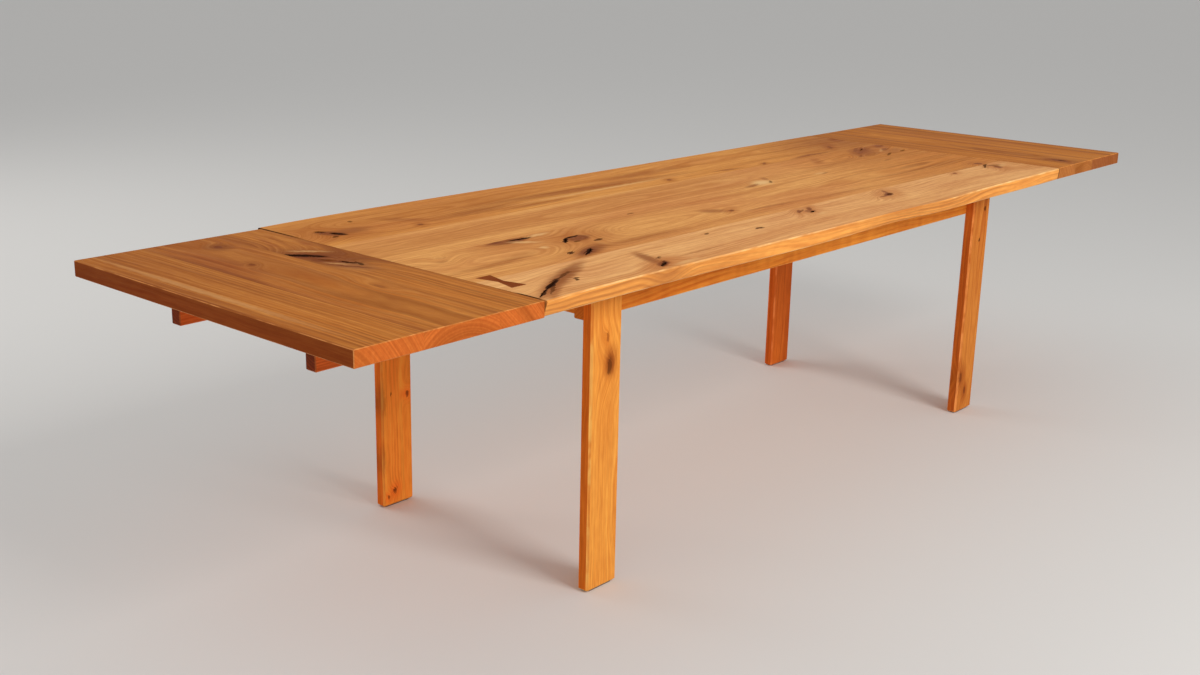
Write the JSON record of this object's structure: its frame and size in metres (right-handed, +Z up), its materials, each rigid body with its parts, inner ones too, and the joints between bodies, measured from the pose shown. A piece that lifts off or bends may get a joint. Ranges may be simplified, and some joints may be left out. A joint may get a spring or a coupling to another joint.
{
  "type": "extending dining table",
  "caption": "Extending dining table in solid wood: natural-edged board top on plank legs, with loose end leaves carried by bearers that pull out of the frame.",
  "frame": {"origin": "on the floor under the middle of the table", "axes": "+X along the table to the right, -Y the front, +Z up"},
  "size_m": [3.281, 0.9616, 0.75],
  "materials": {
    "top_wood": "oiled satin, grain along the table, knots and fine cracks",
    "leaf_wood": "oiled satin, grain across the table, reddish stripes",
    "leg_wood": "oiled satin, upright grain with knots",
    "frame_wood": "oiled satin, rippled grain",
    "bearer_wood": "waxed, straight grain",
    "key_wood": "oiled satin, dark wood",
    "dowel_wood": "plain turned beech",
    "felt": "pressed felt",
    "steel": "bright zinc plated",
    "brass": "plain turned"
  },
  "bodies": {
    "table": {"back_apron": "frame_wood", "back_left_felt_pad": "felt", "back_left_leg": "leg_wood", "back_right_felt_pad": "felt", "back_right_leg": "leg_wood", "butterfly_key": "key_wood", "button_screws": "steel", "front_apron": "frame_wood", "front_left_felt_pad": "felt", "front_left_leg": "leg_wood", "front_right_felt_pad": "felt", "front_right_leg": "leg_wood", "left_cross_rail": "frame_wood", "left_end_apron": "frame_wood", "leg_bolts": "steel", "leg_inserts": "brass", "leg_washers": "steel", "right_cross_rail": "frame_wood", "right_end_apron": "frame_wood", "top_back_board": "top_wood", "top_buttons": "frame_wood", "top_front_board": "top_wood", "top_second_board": "top_wood", "top_third_board": "top_wood"},
    "left_leaf": {"left_leaf_dowels": "dowel_wood", "left_leaf_inner_board": "leaf_wood", "left_leaf_middle_board": "leaf_wood", "left_leaf_outer_board": "leaf_wood"},
    "right_leaf": {"right_leaf_dowels": "dowel_wood", "right_leaf_inner_board": "leaf_wood", "right_leaf_middle_board": "leaf_wood", "right_leaf_outer_board": "leaf_wood"},
    "left_front_bearer": {"left_front_bearer": "bearer_wood", "left_front_stop_peg": "dowel_wood"},
    "left_back_bearer": {"left_back_bearer": "bearer_wood", "left_back_stop_peg": "dowel_wood"},
    "right_front_bearer": {"right_front_bearer": "bearer_wood", "right_front_stop_peg": "dowel_wood"},
    "right_back_bearer": {"right_back_bearer": "bearer_wood", "right_back_stop_peg": "dowel_wood"}
  },
  "joints": [
    {"name": "left_leaf_draw", "type": "slide", "parent": "table", "child": "left_leaf", "axis": [-1, 0, 0], "range_m": [0, 0.45]},
    {"name": "right_leaf_draw", "type": "slide", "parent": "table", "child": "right_leaf", "axis": [1, 0, 0], "range_m": [0, 0.45]},
    {"name": "left_front_bearer_slide", "type": "slide", "parent": "table", "child": "left_front_bearer", "axis": [1, 0, 0], "range_m": [0, 0.6]},
    {"name": "left_back_bearer_slide", "type": "slide", "parent": "table", "child": "left_back_bearer", "axis": [1, 0, 0], "range_m": [0, 0.6]},
    {"name": "right_front_bearer_slide", "type": "slide", "parent": "table", "child": "right_front_bearer", "axis": [-1, 0, 0], "range_m": [0, 0.6]},
    {"name": "right_back_bearer_slide", "type": "slide", "parent": "table", "child": "right_back_bearer", "axis": [-1, 0, 0], "range_m": [0, 0.6]}
  ]
}
